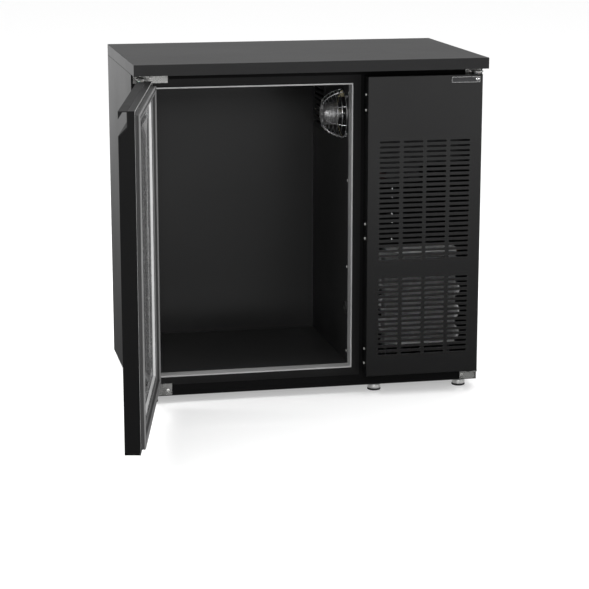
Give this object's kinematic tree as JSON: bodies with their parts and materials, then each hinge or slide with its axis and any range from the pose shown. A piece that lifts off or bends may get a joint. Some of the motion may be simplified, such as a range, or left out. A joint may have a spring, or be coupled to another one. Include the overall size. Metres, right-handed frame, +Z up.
{
  "type": "under counter fridge",
  "caption": "Black under counter keg fridge with a worktop, one left-hinged door shown open, and a slotted service panel over the machine compartment.",
  "frame": {"origin": "middle of the worktop footprint, on the floor under the feet", "axes": "+X to the right of a person facing the door, +Y into the cabinet, +Z up"},
  "size_m": [1.0747, 1.1811, 0.935],
  "materials": {
    "black_steel": "satin black powder coat",
    "black_aluminium": "satin black",
    "black_plastic": "moulded black",
    "trim_metal": "brushed",
    "galvanised": "galvanised sheet",
    "zinc": "bright zinc plate",
    "foam": "rigid insulating foam",
    "grey_rubber": "soft grey bellows",
    "black_rubber": "matte",
    "chrome_wire": "plated wire",
    "motor_metal": "cast",
    "fin_aluminium": "pressed fins",
    "copper": "drawn copper tube",
    "black_enamel": "gloss black enamel",
    "foot_metal": "satin, with a black rubber sole",
    "nylon": "natural nylon",
    "key_plastic": "grey keys",
    "badge": "dark plate with a plain bright bar"
  },
  "bodies": {
    "cabinet": {"back_panel": "galvanised", "base_pan": "black_steel", "cabinet_foam": "foam", "cabinet_screws": "zinc", "compressor": "black_enamel", "compressor_mounts": "black_rubber", "condensate_tray": "black_plastic", "condenser_coil": "fin_aluminium", "condenser_fan_motor": "motor_metal", "controller": "black_plastic", "door_hinge_lower": "zinc", "door_hinge_upper": "zinc", "drain_hose": "black_rubber", "drip_tray": "black_plastic", "evaporator_box": "foam", "evaporator_coil": "fin_aluminium", "evaporator_fan_motor": "motor_metal", "fan_guard": "chrome_wire", "fan_shroud": "galvanised", "filter_drier": "copper", "foot_inserts": "zinc", "front_frame": "black_steel", "inner_liner": "black_plastic", "jamb_trim": "trim_metal", "left_side_panel": "black_steel", "machine_back_grille": "black_steel", "panel_hinge_lower": "zinc", "panel_hinge_upper": "zinc", "partition_foam": "foam", "port_grommet": "black_rubber", "power_inlet": "black_plastic", "power_switch_case": "black_plastic", "refrigerant_lines": "copper", "return_air_grille": "black_plastic", "right_side_panel": "black_steel", "unit_base_plate": "galvanised", "worktop": "black_steel"},
    "door": {"door_shell": "black_steel", "door_foam": "foam", "door_handle": "black_aluminium", "door_inner_panel": "black_plastic", "door_gasket": "grey_rubber", "door_bushes": "nylon"},
    "service_leaf": {"service_panel": "black_steel", "badge_plate": "badge", "panel_bushes": "nylon", "panel_catches": "galvanised", "catch_screws": "zinc"},
    "evaporator_fan": {"evaporator_fan_blade": "black_plastic"},
    "condenser_fan": {"condenser_fan_blade": "black_plastic"},
    "switch_rocker": {"power_switch_rocker": "black_plastic"},
    "foot_front_left_body": {"foot_front_left": "foot_metal"},
    "foot_front_middle_body": {"foot_front_middle": "foot_metal"},
    "foot_front_right_body": {"foot_front_right": "foot_metal"},
    "foot_rear_left_body": {"foot_rear_left": "foot_metal"},
    "foot_rear_middle_body": {"foot_rear_middle": "foot_metal"},
    "foot_rear_right_body": {"foot_rear_right": "foot_metal"},
    "key_set_body": {"key_set": "key_plastic"},
    "key_down_body": {"key_down": "key_plastic"},
    "key_up_body": {"key_up": "key_plastic"}
  },
  "joints": [
    {"name": "door_hinge", "type": "hinge", "parent": "cabinet", "child": "door", "pos_m": [-0.4615, -0.2815, 0.474], "axis": [0, 0, 1], "range_deg": [-10, 101.5]},
    {"name": "service_panel_hinge", "type": "hinge", "parent": "cabinet", "child": "service_leaf", "pos_m": [0.4605, -0.262, 0.474], "axis": [0, 0, 1], "range_deg": [0, 100]},
    {"name": "evaporator_fan_spin", "type": "hinge", "parent": "cabinet", "child": "evaporator_fan", "pos_m": [0.131, -0.12, 0.771], "axis": [1, 0, 0], "continuous": true},
    {"name": "condenser_fan_spin", "type": "hinge", "parent": "cabinet", "child": "condenser_fan", "pos_m": [0.3205, -0.1608, 0.262], "axis": [0, 1, 0], "continuous": true},
    {"name": "power_switch_rock", "type": "hinge", "parent": "cabinet", "child": "switch_rocker", "pos_m": [0.2845, -0.2, 0.607], "axis": [1, 0, 0], "range_deg": [0, 20]},
    {"name": "key_set_press", "type": "slide", "parent": "cabinet", "child": "key_set_body", "axis": [0, 1, 0], "range_m": [0, 0.0008], "stiffness_N_per_m": 600},
    {"name": "key_down_press", "type": "slide", "parent": "cabinet", "child": "key_down_body", "axis": [0, 1, 0], "range_m": [0, 0.0008], "stiffness_N_per_m": 600},
    {"name": "key_up_press", "type": "slide", "parent": "cabinet", "child": "key_up_body", "axis": [0, 1, 0], "range_m": [0, 0.0008], "stiffness_N_per_m": 600},
    {"name": "foot_front_left_adjust", "type": "slide", "parent": "cabinet", "child": "foot_front_left_body", "axis": [0, 0, -1], "range_m": [0, 0.012]},
    {"name": "foot_front_middle_adjust", "type": "slide", "parent": "cabinet", "child": "foot_front_middle_body", "axis": [0, 0, -1], "range_m": [0, 0.012]},
    {"name": "foot_front_right_adjust", "type": "slide", "parent": "cabinet", "child": "foot_front_right_body", "axis": [0, 0, -1], "range_m": [0, 0.012]},
    {"name": "foot_rear_left_adjust", "type": "slide", "parent": "cabinet", "child": "foot_rear_left_body", "axis": [0, 0, -1], "range_m": [0, 0.012]},
    {"name": "foot_rear_middle_adjust", "type": "slide", "parent": "cabinet", "child": "foot_rear_middle_body", "axis": [0, 0, -1], "range_m": [0, 0.012]},
    {"name": "foot_rear_right_adjust", "type": "slide", "parent": "cabinet", "child": "foot_rear_right_body", "axis": [0, 0, -1], "range_m": [0, 0.012]}
  ]
}
